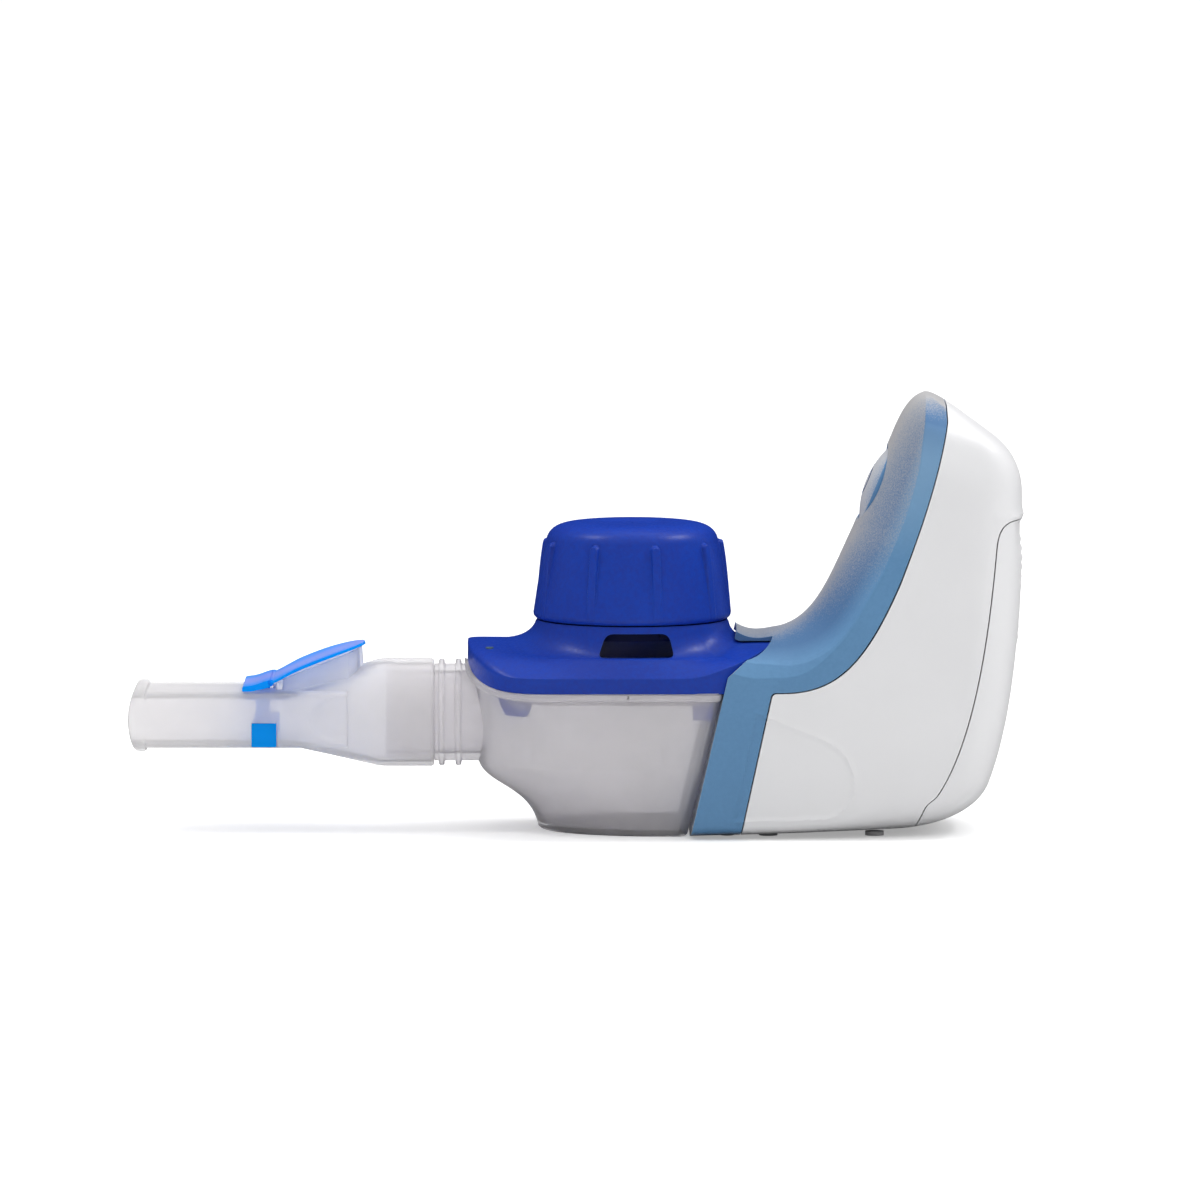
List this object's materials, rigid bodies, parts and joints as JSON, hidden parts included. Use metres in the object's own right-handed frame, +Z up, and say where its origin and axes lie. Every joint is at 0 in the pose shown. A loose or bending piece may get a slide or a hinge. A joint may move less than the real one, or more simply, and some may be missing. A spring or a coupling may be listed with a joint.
{
  "type": "tabletop nebulizer",
  "caption": "Handheld mesh nebulizer with upright battery handle, screw-capped medication head, clear aerosol chamber and valved mouthpiece.",
  "frame": {"origin": "on the resting plane, under the axis of the medication cap", "axes": "+X towards the handle with the mouthpiece at -X, +Y to the side, +Z up along the cap's axis"},
  "size_m": [0.2108, 0.0594, 0.1031],
  "materials": {
    "white_shell": "satin moulded ABS with a faint grain",
    "blue_cover": "satin steel-blue moulded plastic",
    "button_grey": "soft-touch blue-grey disc",
    "board": "solder-masked circuit board",
    "metal": "plated steel",
    "coil": "enamelled copper winding",
    "tray": "plain moulded plastic",
    "cells": "sleeved battery cans",
    "contact_gold": "gold-plated contacts",
    "feet": "matt rubber",
    "royal_blue": "fine-grained satin polypropylene, deep royal blue",
    "vent_grey": "grey vent plug",
    "silicone": "translucent silicone",
    "ceramic": "piezo ceramic",
    "frosted": "frosted translucent polypropylene",
    "valve_blue": "bright blue silicone"
  },
  "bodies": {
    "handle": {"handle_housing": "white_shell", "front_cover": "blue_cover", "circuit_board": "board", "tactile_switch": "metal", "drive_coil": "coil", "battery_cradle": "tray", "battery_cells": "cells", "cell_contacts": "metal", "contact_pins": "contact_gold", "cover_screws": "metal", "rubber_feet": "feet"},
    "button": {"power_button": "button_grey"},
    "door": {"battery_door": "white_shell"},
    "head": {"lid": "royal_blue", "vent_plug": "vent_grey", "reservoir": "royal_blue", "mesh_seal": "silicone", "piezo_ring": "ceramic", "mesh_plate": "metal", "mesh_retainer": "tray", "contact_pads": "contact_gold", "chamber_gasket": "silicone"},
    "seal": {"cap_seal": "silicone"},
    "cap": {"cap": "royal_blue"},
    "chamber": {"chamber": "frosted"},
    "mouthpiece": {"mouthpiece": "frosted", "valve_anchor": "valve_blue"},
    "flap": {"valve_flap": "valve_blue"}
  },
  "joints": [
    {"name": "button_press", "type": "slide", "parent": "handle", "child": "button", "axis": [0.9225, 0, -0.3859], "range_m": [0, 0.0008], "stiffness_N_per_m": 900, "springref_m": -0.001},
    {"name": "door_hinge", "type": "hinge", "parent": "handle", "child": "door", "pos_m": [0.06655, 0, 0.0016], "axis": [0, 1, 0], "range_deg": [0, 65]},
    {"name": "head_slide", "type": "slide", "parent": "handle", "child": "head", "axis": [-1, 0, 0], "range_m": [0, 0.045]},
    {"name": "cap_lift", "type": "slide", "parent": "head", "child": "seal", "axis": [0, 0, 1], "range_m": [0, 0.0181]},
    {"name": "cap_turn", "type": "hinge", "parent": "seal", "child": "cap", "pos_m": [0, 0, 0.06], "axis": [0, 0, 1], "range_deg": [0, 360]},
    {"name": "chamber_unclip", "type": "slide", "parent": "head", "child": "chamber", "axis": [-0.2351, 0, -0.972], "range_m": [0, 0.035]},
    {"name": "mouthpiece_pull", "type": "slide", "parent": "chamber", "child": "mouthpiece", "axis": [-1, 0, 0], "range_m": [0, 0.025]},
    {"name": "flap_lift", "type": "hinge", "parent": "mouthpiece", "child": "flap", "pos_m": [-0.085, 0, 0.0356], "axis": [0, -1, 0], "range_deg": [0, 30]}
  ],
  "couplings": [
    {"joint": "cap_lift", "follows": "cap_turn", "m_per_rad": 0.0028648}
  ]
}
